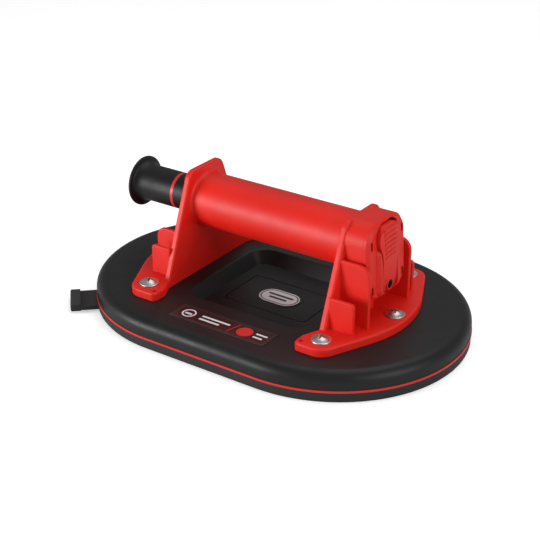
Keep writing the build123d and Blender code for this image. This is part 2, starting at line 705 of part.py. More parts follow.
def end_cover():
    """Snap-on cover of the housing, with the lever's opening and four clip windows."""
    body = house_slab(HOUSE_END_X, 95.0) - leaning_cutter(0.0)
    outer_edges = [e for e in body.edges() if e.center().X > HOUSE_END_X + 1.5
                   and abs(e.tangent_at(0.5).X) < 0.5]
    body = chamfer(outer_edges, 2.2)
    body += tongue()
    body -= house_slab(HOUSE_END_X - 1, 95.0, HOUSE_WALL) - leaning_cutter(-2.6)
    body -= extrude(Plane.YZ.offset(80) * lever_outline(LEVER_GAP, OPENING_EXTRA_TOP), amount=20)
    for side in (-1, 1):
        for z in (52.0, 84.7):
            body -= block((HOUSE_END_X + 1.5, 95), sorted((side * 18.9, side * 21.4)), (z - 3, z + 3))
    return body


def vent_bush():
    """Black bush that lines the air outlet in the lever."""
    return Pos(0, 0, VENT_Z - AXIS_Z) * axis_tube(86.3, 91.2, VENT_RADIUS, VENT_BORE)


def release_lever():
    """Ribbed thumb lever that opens the release valve."""
    slab = extrude(Plane.YZ.offset(78) * lever_outline(0.0, 0.0), amount=20)
    outer = [(70, LEVER_BOTTOM - 1), (89.9, LEVER_BOTTOM - 1), (91.0, 52.0), (91.0, 72.0), (89.8, 91.0),
             (88.7, 93.2), (86.0, LEVER_TOP), (70, LEVER_TOP + 1)]
    body = slab & side_slab(outer) & leaning_cutter(-LEVER_BACK)
    for index in range(7):
        z = 71.6 + 3.4 * index
        x = 91.0 - 0.063 * (z - 72.0)
        half = 6.3 + 0.33 * index
        body += block((x - 1.0, x + 0.5), (-half, half), (z - 0.7, z + 0.7))
    knuckle = Pos(LEVER_PIN_X, 0, LEVER_PIN_Z) * Rot(90, 0, 0) * Cylinder(2.8, 2 * LUG_HALF_Y - 0.8)
    arm_half = LUG_HALF_Y - 0.4
    body += knuckle + block((LEVER_PIN_X, 87.5), (-arm_half, arm_half), (LEVER_PIN_Z - 2, LEVER_PIN_Z + 2))
    vent = Pos(0, 0, VENT_Z - AXIS_Z)
    body += vent * axis_tube(88.0, 91.4, VENT_RADIUS + 0.9)
    body -= vent * axis_tube(80, 100, VENT_RADIUS)
    body -= Pos(LEVER_PIN_X, 0, LEVER_PIN_Z) * Rot(90, 0, 0) * Cylinder(LEVER_PIN_RADIUS + FIT_GAP, 40)
    return body


def lever_pin():
    """Steel pin on which the lever rocks."""
    return Pos(LEVER_PIN_X, 0, LEVER_PIN_Z) * Rot(90, 0, 0) * Cylinder(LEVER_PIN_RADIUS, 2 * BLOCK_HALF_Y)


PIECES = {
    "base_shell": base_shell, "backing_gasket": backing_gasket, "backing_plate": backing_plate,
    "plate_screws": plate_screws, "accent_ring": accent_ring, "seal_pad": seal_pad,
    "recess_cover": recess_cover, "badge": badge, "label_strip": label_strip,
    "handle_body": handle_body, "foot_screws": foot_screws, "threaded_inserts": threaded_inserts,
    "plunger": plunger, "indicator_ring": indicator_ring, "piston": piston, "piston_seal": piston_seal,
    "piston_pin": piston_pin, "guide_bush": guide_bush, "plunger_wiper": plunger_wiper,
    "pump_barrel": pump_barrel, "barrel_head": barrel_head, "head_o_rings": head_o_rings,
    "intake_valve": intake_valve, "return_spring": return_spring, "valve_block": valve_block,
    "valve_block_screws": valve_block_screws, "release_stem": release_stem, "release_seal": release_seal,
    "release_spring": release_spring, "vacuum_duct": vacuum_duct, "duct_o_ring": duct_o_ring,
    "suction_port": suction_port, "suction_filter": suction_filter, "end_cover": end_cover,
    "vent_bush": vent_bush,
    "release_lever": release_lever, "lever_pin": lever_pin,
}

os.makedirs("parts", exist_ok=True)
for node, make in PIECES.items():
    export_step(make(), f"parts/{node}.step")
    print(node)
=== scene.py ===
"""Looks of a hand-pump vacuum lifter: finishes, detailed pieces, floor, light and camera."""

import math

import bmesh
import bpy
from mathutils import Matrix, Vector


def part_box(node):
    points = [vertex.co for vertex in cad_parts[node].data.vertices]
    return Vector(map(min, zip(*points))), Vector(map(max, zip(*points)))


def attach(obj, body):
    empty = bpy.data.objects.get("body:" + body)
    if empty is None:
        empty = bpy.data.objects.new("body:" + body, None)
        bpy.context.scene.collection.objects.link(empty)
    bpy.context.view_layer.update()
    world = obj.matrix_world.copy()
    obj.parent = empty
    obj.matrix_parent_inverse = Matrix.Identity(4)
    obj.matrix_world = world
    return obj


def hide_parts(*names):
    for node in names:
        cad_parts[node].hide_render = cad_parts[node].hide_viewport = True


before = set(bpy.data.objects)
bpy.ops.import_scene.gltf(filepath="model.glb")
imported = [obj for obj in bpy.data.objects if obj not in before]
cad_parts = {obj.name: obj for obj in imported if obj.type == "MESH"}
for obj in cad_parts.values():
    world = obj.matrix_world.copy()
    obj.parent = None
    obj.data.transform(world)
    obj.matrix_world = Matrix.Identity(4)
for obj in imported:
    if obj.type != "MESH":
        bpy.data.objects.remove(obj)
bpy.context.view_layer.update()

bl_info = {
    "name": "Vacuum Lifter Looks",
    "version": (1, 0, 0),
    "blender": (4, 5, 0),
    "location": "View3D > Sidebar > Lifter",
    "description": "Finishes and detailed pieces for a hand-pump vacuum lifter",
    "category": "Object",
}


# ---------------------------------------------------------------- properties
class LifterFinish(bpy.types.PropertyGroup):
    """Colours and surface values of the lifter's materials."""

    red: bpy.props.FloatVectorProperty(
        name="Red", description="Colour of the moulded handle", subtype="COLOR",
        size=3, min=0, max=1, default=(0.76, 0.0130, 0.0055))
    trim_red: bpy.props.FloatVectorProperty(
        name="Trim red", description="Colour of the accent line and the indicator ring", subtype="COLOR",
        size=3, min=0, max=1, default=(0.62, 0.020, 0.016))
    shell: bpy.props.FloatVectorProperty(
        name="Shell", description="Colour of the moulded plate", subtype="COLOR",
        size=3, min=0, max=1, default=(0.0095, 0.0095, 0.0100))
    rubber: bpy.props.FloatVectorProperty(
        name="Rubber", description="Colour of the seal", subtype="COLOR",
        size=3, min=0, max=1, default=(0.0075, 0.0075, 0.0080))
    plunger: bpy.props.FloatVectorProperty(
        name="Plunger", description="Colour of the plunger", subtype="COLOR",
        size=3, min=0, max=1, default=(0.0035, 0.0035, 0.0040))
    zinc: bpy.props.FloatVectorProperty(
        name="Zinc", description="Colour of the plated screws", subtype="COLOR",
        size=3, min=0, max=1, default=(0.62, 0.60, 0.59))
    print_white: bpy.props.FloatVectorProperty(
        name="Print", description="Colour of the light print", subtype="COLOR",
        size=3, min=0, max=1, default=(0.80, 0.81, 0.83))
    grain: bpy.props.FloatProperty(
        name="Grain", description="Size of the fine texture moulded into the plastics",
        subtype="DISTANCE", unit="LENGTH", default=0.0005, min=0.0001, max=0.005)
    edge_radius: bpy.props.FloatProperty(
        name="Edge radius", description="Softness that the shading gives to moulded edges",
        subtype="DISTANCE", unit="LENGTH", default=0.0005, min=0.0, max=0.003)


class LifterScrews(bpy.types.PropertyGroup):
    """Sizes of the screws that hold the handle's feet."""

    head: bpy.props.FloatProperty(
        name="Head", description="Radius of the screw's flange", subtype="DISTANCE", unit="LENGTH",
        default=0.0071, min=0.003, max=0.01)
    dome: bpy.props.FloatProperty(
        name="Dome", description="Radius of the dome above the flange", subtype="DISTANCE", unit="LENGTH",
        default=0.0055, min=0.002, max=0.009)
    height: bpy.props.FloatProperty(
        name="Height", description="Height of the head above the foot", subtype="DISTANCE", unit="LENGTH",
        default=0.0034, min=0.001, max=0.008)
    recess: bpy.props.FloatProperty(
        name="Recess", description="Half the length of each slot of the cross recess", subtype="DISTANCE",
        unit="LENGTH", default=0.0031, min=0.001, max=0.005)
    side_x: bpy.props.FloatProperty(
        name="Side screws", description="Distance of the front and rear screws from the middle of the plate",
        subtype="DISTANCE", unit="LENGTH", default=0.0736, min=0.05, max=0.1)


class LifterPlunger(bpy.types.PropertyGroup):
    """Sizes of the plunger and its palm button."""

    shaft: bpy.props.FloatProperty(
        name="Shaft", description="Radius of the plunger's shaft", subtype="DISTANCE", unit="LENGTH",
        default=0.0136, min=0.005, max=0.02)
    button: bpy.props.FloatProperty(
        name="Button", description="Radius of the palm button", subtype="DISTANCE", unit="LENGTH",
        default=0.0190, min=0.01, max=0.03)
    lip: bpy.props.FloatProperty(
        name="Lip", description="Thickness of the button's rim", subtype="DISTANCE", unit="LENGTH",
        default=0.0022, min=0.0008, max=0.005)
    dish: bpy.props.FloatProperty(
        name="Dish", description="Depth of the hollow in the button's face", subtype="DISTANCE",
        unit="LENGTH", default=0.0009, min=0.0, max=0.003)


class LifterPrint(bpy.types.PropertyGroup):
    """Sizes of the printed strip and the badge."""

    line: bpy.props.FloatProperty(
        name="Line", description="Width of the strip's border lines", subtype="DISTANCE", unit="LENGTH",
        default=0.00045, min=0.0001, max=0.002)
    gap: bpy.props.FloatProperty(
        name="Gap", description="Space between the two border lines", subtype="DISTANCE", unit="LENGTH",
        default=0.0009, min=0.0002, max=0.003)
    thickness: bpy.props.FloatProperty(
        name="Thickness", description="Thickness of the print above the film", subtype="DISTANCE",
        unit="LENGTH", default=0.00006, min=0.00001, max=0.0005)


class LifterStage(bpy.types.PropertyGroup):
    """Camera, floor and light."""

    camera: bpy.props.FloatVectorProperty(
        name="Camera", description="Where the camera stands", subtype="TRANSLATION", unit="LENGTH",
        size=3, default=(0.46830, -0.69130, 0.45180))
    target: bpy.props.FloatVectorProperty(
        name="Target", description="What the camera looks at", subtype="TRANSLATION", unit="LENGTH",
        size=3, default=(-0.00341, -0.00727, 0.03703))
    lens: bpy.props.FloatProperty(
        name="Lens", description="Focal length in millimetres on a 36 mm sensor",
        default=85.81, min=20, max=200)
    key: bpy.props.FloatProperty(
        name="Key", description="Power of the large lamp overhead", subtype="POWER", unit="POWER",
        default=5.5, min=0, max=200)
    fill: bpy.props.FloatProperty(
        name="Fill", description="Power of the soft lamp in front", subtype="POWER", unit="POWER",
        default=27.0, min=0, max=200)
    backdrop: bpy.props.FloatProperty(
        name="Backdrop", description="Brightness that the surroundings give", default=0.27, min=0, max=4)
    floor_glow: bpy.props.FloatProperty(
        name="Floor glow", description="How far the pale floor is lifted towards white",
        default=0.50, min=0, max=2)


# ---------------------------------------------------------------- material tools
def new_material(name):
    """An empty node material with its shader and output."""
    made = bpy.data.materials.new(name)
    made.use_nodes = True
    nodes = made.node_tree.nodes
    nodes.clear()
    output = nodes.new("ShaderNodeOutputMaterial")
    shader = nodes.new("ShaderNodeBsdfPrincipled")
    made.node_tree.links.new(shader.outputs["BSDF"], output.inputs["Surface"])
    return made, shader


def add_node(made, kind, **values):
    """A node with its sockets or settings given by name."""
    node = made.node_tree.nodes.new(kind)
    for key, value in values.items():
        if key in node.inputs:
            node.inputs[key].default_value = value
        else:
            setattr(node, key, value)
    return node


def join(made, source, target):
    """A link from one socket to another."""
    made.node_tree.links.new(source, target)


def object_noise(made, scale, detail=3.0, roughness=0.5, stretch=(1, 1, 1)):
    """Noise over the object's own coordinates."""
    place = add_node(made, "ShaderNodeTexCoord")
    mapping = add_node(made, "ShaderNodeMapping")
    mapping.inputs["Scale"].default_value = stretch
    noise = add_node(made, "ShaderNodeTexNoise", Scale=scale, Detail=detail, Roughness=roughness)
    join(made, place.outputs["Object"], mapping.inputs["Vector"])
    join(made, mapping.outputs["Vector"], noise.inputs["Vector"])
    return noise.outputs["Fac"]


def spread(made, value, low, high, start=0.3, end=0.7):
    """A value remapped to run from low to high."""
    node = add_node(made, "ShaderNodeMapRange")
    node.inputs["From Min"].default_value = start
    node.inputs["From Max"].default_value = end
    node.inputs["To Min"].default_value = low
    node.inputs["To Max"].default_value = high
    join(made, value, node.inputs["Value"])
    return node.outputs["Result"]


def two_tone(made, value, dark, light):
    """A colour between dark and light, picked by value."""
    ramp = add_node(made, "ShaderNodeValToRGB")
    ramp.color_ramp.elements[0].position = 0.3
    ramp.color_ramp.elements[0].color = (*dark, 1)
    ramp.color_ramp.elements[1].position = 0.7
    ramp.color_ramp.elements[1].color = (*light, 1)
    join(made, value, ramp.inputs["Fac"])
    return ramp.outputs["Color"]


def bump_chain(made, shader, height, depth, distance, edge_radius=0.0):
    """Relief from a height, over softly rounded edges."""
    bump = add_node(made, "ShaderNodeBump", Strength=depth, Distance=distance)
    join(made, height, bump.inputs["Height"])
    if edge_radius > 0:
        bevel = add_node(made, "ShaderNodeBevel", Radius=edge_radius, samples=4)
        join(made, bevel.outputs["Normal"], bump.inputs["Normal"])
    join(made, bump.outputs["Normal"], shader.inputs["Normal"])


def shades(colour, low, high):
    """A darker and a lighter version of a colour."""
    return tuple(c * low for c in colour), tuple(min(1.0, c * high) for c in colour)


def moulded_plastic(name, colour, rough, grain, edge_radius, coat=0.0, relief=0.12, gloss=0.5):
    """Moulded plastic with faint mottling, fine grain and soft edges."""
    made, shader = new_material(name)
    dark, light = shades(colour, 0.90, 1.10)
    broad = object_noise(made, 14.0, 4.0, 0.6)
    join(made, two_tone(made, broad, dark, light), shader.inputs["Base Color"])
    smears = object_noise(made, 60.0, 5.0, 0.65)
    join(made, spread(made, smears, rough[0], rough[1]), shader.inputs["Roughness"])
    shader.inputs["Coat Weight"].default_value = coat
    shader.inputs["Coat Roughness"].default_value = 0.18
    shader.inputs["IOR"].default_value = 1.49
    shader.inputs["Specular IOR Level"].default_value = gloss
    fine = object_noise(made, 1.0 / grain, 2.0, 0.5)
    bump_chain(made, shader, fine, relief, 0.00012, edge_radius)
    return made


def soft_rubber(name, colour):
    """Matt moulded rubber with a dusty bloom."""
    made, shader = new_material(name)
    dark, light = shades(colour, 0.8, 1.45)
    bloom = object_noise(made, 35.0, 6.0, 0.7)
    join(made, two_tone(made, bloom, dark, light), shader.inputs["Base Color"])
    join(made, spread(made, bloom, 0.62, 0.82), shader.inputs["Roughness"])
    shader.inputs["Sheen Weight"].default_value = 0.08
    shader.inputs["Sheen Roughness"].default_value = 0.5
    fine = object_noise(made, 1500.0, 3.0, 0.6)
    bump_chain(made, shader, fine, 0.25, 0.00015, 0.0004)
    return made


def plated_metal(name, colour, rough, stretch=(1, 1, 1)):
    """Bright plated or drawn metal with faint streaks."""
    made, shader = new_material(name)
    shader.inputs["Metallic"].default_value = 1.0
    dark, light = shades(colour, 0.82, 1.08)
    cloud = object_noise(made, 300.0, 5.0, 0.6)
    join(made, two_tone(made, cloud, dark, light), shader.inputs["Base Color"])
    streaks = object_noise(made, 900.0, 3.0, 0.6, stretch)
    join(made, spread(made, streaks, rough[0], rough[1]), shader.inputs["Roughness"])
    bump_chain(made, shader, streaks, 0.12, 0.00005, 0.0002)
    return made


def felt(name, colour):
    """Porous felt with a coarse nap."""
    made, shader = new_material(name)
    dark, light = shades(colour, 0.6, 1.1)
    nap = object_noise(made, 1800.0, 4.0, 0.7)
    join(made, two_tone(made, nap, dark, light), shader.inputs["Base Color"])
    shader.inputs["Roughness"].default_value = 0.95
    bump_chain(made, shader, nap, 0.8, 0.0003)
    return made


def make_finishes(look):
    """Every material of the object, by name."""
    grain, edge = look.grain, look.edge_radius
    return {
        "red": moulded_plastic("red_handle_plastic", look.red, (0.42, 0.52), grain, edge,
                               relief=0.06, gloss=0.38),
        "shell": moulded_plastic("black_shell_plastic", look.shell, (0.38, 0.50), grain, edge,
                                 relief=0.22, gloss=0.30),
        "trim": moulded_plastic("red_trim_plastic", look.trim_red, (0.35, 0.45), grain, 0.0, relief=0.05),
        "plunger": moulded_plastic("plunger_plastic", look.plunger, (0.44, 0.54), grain, edge,
                                   relief=0.10, gloss=0.36),
        "film": moulded_plastic("print_film", look.shell, (0.28, 0.36), grain, 0.0, coat=0.3, relief=0.04),
        "faint_ink": moulded_plastic("faint_ink", (0.045, 0.045, 0.046), (0.45, 0.55), grain, 0.0,
                                     relief=0.04),
        "ink": moulded_plastic("light_ink", look.print_white, (0.45, 0.55), grain, 0.0, relief=0.04),
        "red_ink": moulded_plastic("red_ink", look.trim_red, (0.4, 0.5), grain, 0.0, relief=0.04),
        "nylon": moulded_plastic("natural_nylon", (0.72, 0.71, 0.66), (0.4, 0.5), grain, edge, relief=0.08),
        "rubber": soft_rubber("seal_rubber", look.rubber),
        "soft": soft_rubber("valve_rubber", (0.03, 0.03, 0.032)),
        "zinc": plated_metal("zinc_plate", look.zinc, (0.30, 0.42)),
        "wire": plated_metal("spring_wire", (0.55, 0.55, 0.57), (0.22, 0.34), (1, 6, 6)),
        "brass": plated_metal("turned_brass", (0.80, 0.58, 0.26), (0.2, 0.32)),
        "liner": plated_metal("drawn_tube", (0.82, 0.83, 0.85), (0.15, 0.25), (0.1, 3, 3)),
        "felt": felt("filter_felt", (0.6, 0.57, 0.5)),
    }


FINISH_OF = {
    "base_shell": "shell", "recess_cover": "shell", "seal_pad": "rubber", "accent_ring": "trim",
    "handle_body": "red", "end_cover": "red", "release_lever": "red", "guide_bush": "plunger",
    "indicator_ring": "trim", "vent_bush": "plunger", "label_strip": "film", "badge": "film",
    "backing_plate": "zinc", "plate_screws": "zinc", "piston_pin": "zinc", "lever_pin": "zinc",
    "valve_block_screws": "zinc", "foot_screws": "zinc", "threaded_inserts": "brass", "release_stem": "brass",
    "suction_port": "brass", "pump_barrel": "liner", "vacuum_duct": "liner", "return_spring": "wire",
    "release_spring": "wire", "piston": "nylon", "barrel_head": "nylon", "valve_block": "nylon",
    "piston_seal": "soft", "plunger_wiper": "soft", "head_o_rings": "soft", "duct_o_ring": "soft",
    "intake_valve": "soft", "release_seal": "soft", "backing_gasket": "soft", "suction_filter": "felt",
    "plunger": "plunger",
}
FINISHES = {}
SHARP_ANGLE = math.radians(28)


def shading_group():
    """Geometry nodes that weld a faceted mesh and shade it smooth up to an angle."""
    group = bpy.data.node_groups.new("smooth_by_angle", "GeometryNodeTree")
    group.interface.new_socket("Geometry", in_out="INPUT", socket_type="NodeSocketGeometry")
    group.interface.new_socket("Geometry", in_out="OUTPUT", socket_type="NodeSocketGeometry")
    nodes, links = group.nodes, group.links
    start, end = nodes.new("NodeGroupInput"), nodes.new("NodeGroupOutput")
    weld = nodes.new("GeometryNodeMergeByDistance")
    weld.inputs["Distance"].default_value = 0.000002
    faces = nodes.new("GeometryNodeSetShadeSmooth")
    edges = nodes.new("GeometryNodeSetShadeSmooth")
    edges.domain = "EDGE"
    edges.inputs["Shade Smooth"].default_value = False
    angle = nodes.new("GeometryNodeInputMeshEdgeAngle")
    sharp = nodes.new("FunctionNodeCompare")
    sharp.data_type = "FLOAT"
    sharp.operation = "GREATER_THAN"
    sharp.inputs[1].default_value = SHARP_ANGLE
    links.new(start.outputs[0], weld.inputs["Geometry"])
    links.new(weld.outputs["Geometry"], faces.inputs["Geometry"])
    links.new(faces.outputs["Geometry"], edges.inputs["Geometry"])
    links.new(angle.outputs["Unsigned Angle"], sharp.inputs[0])
    links.new(sharp.outputs["Result"], edges.inputs["Selection"])
    links.new(edges.outputs["Geometry"], end.inputs[0])
    return group


def dress(item, finish):
    """One material over the whole of a piece."""
    slots = item.data.materials
    slots.clear()
    slots.append(FINISHES[finish])


# ---------------------------------------------------------------- mesh tools
def piece(name, mesh, finish, body, slot, *stands_for):
    """A finished bmesh as a piece on a body, with its material."""
    bmesh.ops.remove_doubles(mesh, verts=mesh.verts, dist=0.000001)
    bmesh.ops.recalc_face_normals(mesh, faces=mesh.faces)
    for face in mesh.faces:
        face.smooth = True
    for edge in mesh.edges:
        if len(edge.link_faces) == 2 and edge.calc_face_angle(0.0) > SHARP_ANGLE:
            edge.smooth = False
    data = bpy.data.meshes.new(name)
    mesh.to_mesh(data)
    mesh.free()
    item = bpy.data.objects.new(name, data)
    bpy.context.scene.collection.objects.link(item)
    dress(item, finish)
    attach(item, body)
    if stands_for:
        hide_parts(*stands_for)
    return item


def spun(mesh, points, axis, centre, steps):
    """A profile of (along, radius) points turned all the way round an axis."""
    along = Vector(axis)
    side = along.orthogonal().normalized()
    verts = [mesh.verts.new(Vector(centre) + along * a + side * max(r, 0.0)) for a, r in points]
    edges = [mesh.edges.new(pair) for pair in zip(verts, verts[1:])]
    bmesh.ops.spin(mesh, geom=verts + edges, cent=centre, axis=along, dvec=(0, 0, 0),
                   angle=2 * math.pi, steps=steps, use_merge=True, use_duplicate=False)
    bmesh.ops.remove_doubles(mesh, verts=mesh.verts, dist=0.000002)
    bmesh.ops.recalc_face_normals(mesh, faces=mesh.faces)


def plate_block(mesh, x_range, y_range, z_range):
    """A small block between limits."""
    made = bmesh.ops.create_cube(mesh, size=1.0)["verts"]
    size = [high - low for low, high in (x_range, y_range, z_range)]
    middle = [(high + low) / 2 for low, high in (x_range, y_range, z_range)]
    bmesh.ops.scale(mesh, verts=made, vec=size)
    bmesh.ops.translate(mesh, verts=made, vec=middle)
    return made


def arc(centre_a, centre_r, radius, start, end, steps):
    """Points of an arc in (along, radius) coordinates, angles in degrees."""
    turn = [math.radians(start + (end - start) * i / steps) for i in range(steps + 1)]
    return [(centre_a + radius * math.cos(t), centre_r + radius * math.sin(t)) for t in turn]


# ---------------------------------------------------------------- operators
class LIFTER_OT_finishes(bpy.types.Operator):
    """Give every CAD piece its material and smooth shading."""

    bl_idname = "lifter.finishes"
    bl_label = "Finishes"

    def execute(self, context):
        FINISHES.update(make_finishes(context.scene.lifter_finish))
        group = shading_group()
        for name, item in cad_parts.items():
            dress(item, FINISH_OF[name])
            smooth = item.modifiers.new("Smooth by angle", "NODES")
            smooth.node_group = group
        return {"FINISHED"}


FLANGE = 0.0011            # thickness of the flange under the dome
FLANGE_CORNER = 0.0006     # rounding of the flange's upper edge
FLANGE_DRAFT = 0.0002      # how far the flange's foot is drawn in
DOME_STEP = 0.0003         # width of the step between flange and dome
SHANK_TIP, SHANK_ROOT = 0.0026, 0.00295
SLOT_HALF_WIDTH = 0.0006
SLOT_FLOOR, SLOT_TOP = 0.0012, 0.006
FIRST_TURN, TURN_STEP = 23, 37


def screw_mesh(mesh, sizes, x, y, foot_top):
    """One dome-head screw with a flange, before its recess is cut."""
    head, dome, height = sizes.head, sizes.dome, sizes.height
    rim = [(foot_top, head - FLANGE_DRAFT), (foot_top + FLANGE - FLANGE_CORNER, head)]
    rim += arc(foot_top + FLANGE - FLANGE_CORNER, head - FLANGE_CORNER, FLANGE_CORNER, 90, 0, 4)
    cap = height - FLANGE
    ball = (dome * dome + cap * cap) / (2 * cap)
    centre = foot_top + height - ball
    spread_angle = math.degrees(math.asin(dome / ball))
    crown = arc(centre, 0.0, ball, spread_angle, 0, 10)
    profile = [(foot_top, 0.0)] + rim + [(foot_top + FLANGE, dome + DOME_STEP)] + crown
    spun(mesh, profile, (0, 0, 1), (0, 0, 0), 40)
    bmesh.ops.translate(mesh, verts=mesh.verts, vec=(x, y, 0))


class LIFTER_OT_screws(bpy.types.Operator):
    """Build the six plated screws on the handle's feet."""

    bl_idname = "lifter.screws"
    bl_label = "Foot screws"

    def execute(self, context):
        sizes = context.scene.lifter_screws
        low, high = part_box("foot_screws")
        foot_top = high.z - sizes.height
        far_x = high.x - sizes.head
        side_y = high.y - sizes.head
        places = [(s * sizes.side_x, t * side_y) for s in (-1, 1) for t in (-1, 1)]
        places += [(-far_x, 0.0), (far_x, 0.0)]
        for index, (x, y) in enumerate(places):
            turn = math.radians(FIRST_TURN + TURN_STEP * index)
            mesh = bmesh.new()
            screw_mesh(mesh, sizes, x, y, foot_top)
            shank = bmesh.ops.create_cone(mesh, cap_ends=True, segments=32, radius1=SHANK_TIP,
                                          radius2=SHANK_ROOT, depth=foot_top - low.z)["verts"]
            bmesh.ops.translate(mesh, verts=shank, vec=(x, y, (foot_top + low.z) / 2))
            item = piece(f"foot_screw_{index + 1}", mesh, "zinc", "base", "zinc_steel", "foot_screws")
            cutter_mesh = bmesh.new()
            for quarter in (0, math.pi / 2):
                slot_block = plate_block(cutter_mesh, (-sizes.recess, sizes.recess),
                                         (-SLOT_HALF_WIDTH, SLOT_HALF_WIDTH),
                                         (foot_top + SLOT_FLOOR, foot_top + SLOT_TOP))
                bmesh.ops.rotate(cutter_mesh, verts=slot_block, cent=(0, 0, 0),
                                 matrix=Matrix.Rotation(turn + quarter, 3, "Z"))
            bmesh.ops.translate(cutter_mesh, verts=cutter_mesh.verts, vec=(x, y, 0))
            cut_away(item, cutter_mesh)
        return {"FINISHED"}


def cut_away(item, cutter_mesh):
    """The cutter's volume removed from a piece for good."""
    data = bpy.data.meshes.new("cutter")
    cutter_mesh.to_mesh(data)
    cutter_mesh.free()
    cutter = bpy.data.objects.new("cutter", data)
    bpy.context.scene.collection.objects.link(cutter)
    cut = item.modifiers.new("Cut", "BOOLEAN")
    cut.operation = "DIFFERENCE"
    cut.solver = "EXACT"
    cut.use_self = True
    cut.object = cutter
    bpy.context.view_layer.update()
    graph = bpy.context.evaluated_depsgraph_get()
    result = bpy.data.meshes.new_from_object(item.evaluated_get(graph))
    item.modifiers.remove(cut)
    old = item.data
    item.data = result
    bpy.data.meshes.remove(old)
    bpy.data.objects.remove(cutter)
    bpy.data.meshes.remove(data)


RIM_ROUNDING = 0.42        # share of the button's lip that is rounded
DISH_RADIUS = 0.0095       # flat middle of the button's hollow face
DISH_EDGE = (0.0140, 0.0150)
# Where the button narrows: (past the lip, inside the button's rim).
FLARE = ((0.0002, 0.0018), (0.0007, 0.0028))
# Where it meets the shaft: (past the lip, outside the shaft).
THROAT = ((0.0018, 0.0018), (0.0036, 0.0009), (0.0064, 0.0003), (0.0105, 0.0))
RING_GROOVE = 0.0008       # depth of the groove that holds the indicator ring
BORE_RADIUS = 0.0108
BUTTON_WALL = 0.0045       # solid plastic between the button's face and the bore


class LIFTER_OT_plunger(bpy.types.Operator):
    """Turn the plunger with its flared palm button."""

    bl_idname = "lifter.plunger"
    bl_label = "Plunger"

    def execute(self, context):
        sizes = context.scene.lifter_plunger
        low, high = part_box("plunger")
        ring_low, ring_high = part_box("indicator_ring")
        axis_z = (low.z + high.z) / 2
        tip, end = low.x, high.x
        lip, edge = sizes.lip, sizes.lip * RIM_ROUNDING
        shaft = sizes.shaft
        face = [(tip + sizes.dish, 0.0), (tip + sizes.dish, DISH_RADIUS),
                (tip + 0.0002, DISH_EDGE[0]), (tip, DISH_EDGE[1])]
        rim = [(tip, sizes.button - edge)] + arc(tip + edge, sizes.button - edge, edge, 180, 90, 5)[1:]
        rim += arc(tip + lip - edge, sizes.button - edge, edge, 90, 0, 5)
        flare = [(tip + lip + along, sizes.button - inward) for along, inward in FLARE]
        flare += [(tip + lip + along, shaft + outward) for along, outward in THROAT]
        ring = [(ring_low.x, shaft), (ring_low.x, shaft - RING_GROOVE),
                (ring_high.x, shaft - RING_GROOVE), (ring_high.x, shaft)]
        inner = [(end, shaft), (end, BORE_RADIUS), (tip + BUTTON_WALL, BORE_RADIUS), (tip + BUTTON_WALL, 0.0)]
        mesh = bmesh.new()
        spun(mesh, face + rim + flare + ring + inner, (1, 0, 0), (0, 0, axis_z), 96)
        piece("plunger_shaft", mesh, "plunger", "plunger_body", "plunger_plastic", "plunger")
        return {"FINISHED"}


def border(mesh, x_range, y_range, z_range, width):
    """A thin rectangular border line."""
    (x0, x1), (y0, y1) = x_range, y_range
    plate_block(mesh, (x0, x1), (y0, y0 + width), z_range)
    plate_block(mesh, (x0, x1), (y1 - width, y1), z_range)
    plate_block(mesh, (x0, x0 + width), (y0 + width, y1 - width), z_range)
    plate_block(mesh, (x1 - width, x1), (y0 + width, y1 - width), z_range)


ROUND_STEPS = 72
ON_AXIS = 1e-7             # points nearer to the middle line than this aren't drawn out


def oval_loop(mesh, radius, straight, filled):
    """A circle drawn out along X into an oval by straight."""
    loop = bmesh.ops.create_circle(mesh, cap_ends=filled, segments=ROUND_STEPS, radius=radius)["verts"]
    for vert in loop:
        vert.co.x += math.copysign(straight, vert.co.x) if abs(vert.co.x) > ON_AXIS else 0.0
    return loop


def thicken(mesh, verts, faces, centre, height):
    """Flat faces given a thickness and moved to their place."""
    grown = bmesh.ops.extrude_face_region(mesh, geom=faces)["geom"]
    lifted = [part for part in grown if isinstance(part, bmesh.types.BMVert)]
    bmesh.ops.translate(mesh, verts=lifted, vec=(0, 0, height))
    bmesh.ops.translate(mesh, verts=verts + lifted, vec=centre)


def flat_ring(mesh, centre, inner, outer, height, straight=0.0):
    """A thin flat ring, drawn out along X into an oval by straight."""
    made = oval_loop(mesh, inner, straight, False) + oval_loop(mesh, outer, straight, False)
    edges = list({edge for vert in made for edge in vert.link_edges})
    faces = bmesh.ops.bridge_loops(mesh, edges=edges)["faces"]
    thicken(mesh, made, faces, centre, height)


def flat_oval(mesh, centre, radius, height, straight):
    """A thin flat disc, drawn out along X into an oval by straight."""
    loop = oval_loop(mesh, radius, straight, True)
    faces = list({face for vert in loop for face in vert.link_faces})
    thicken(mesh, loop, faces, centre, height)


SUNK = 0.00002             # how far print starts below the surface that it lies on
# Marks on the strip: the name and load bars, the ring with its bar, the disc and the leaning stripe.
BORDER_MARGIN = 0.0006
INNER_LINE = 0.6           # the inner border line's share of the outer one's width
NAME_START, NAME_LENGTHS = 0.0215, (0.0235, 0.0170)
NAME_RAISE, NAME_PITCH, NAME_HALF = 0.0018, 0.0042, 0.0009
LOAD_START, LOAD_END, LOAD_STEP = 0.0130, 0.0040, 0.0016
LOAD_RAISE, LOAD_PITCH, LOAD_HALF = 0.0022, 0.0044, 0.0008
RING_X, RING_INNER, RING_OUTER = 0.0110, 0.0042, 0.0053
RING_BAR_X, RING_BAR_Y = (0.0082, 0.0138), (-0.0016, 0.0004)
DISC_X, DISC_RADIUS = 0.0588, 0.0060
STRIPE_X, STRIPE_HALF, STRIPE_REACH, STRIPE_LEAN = 0.0492, 0.0003, 0.0068, -14


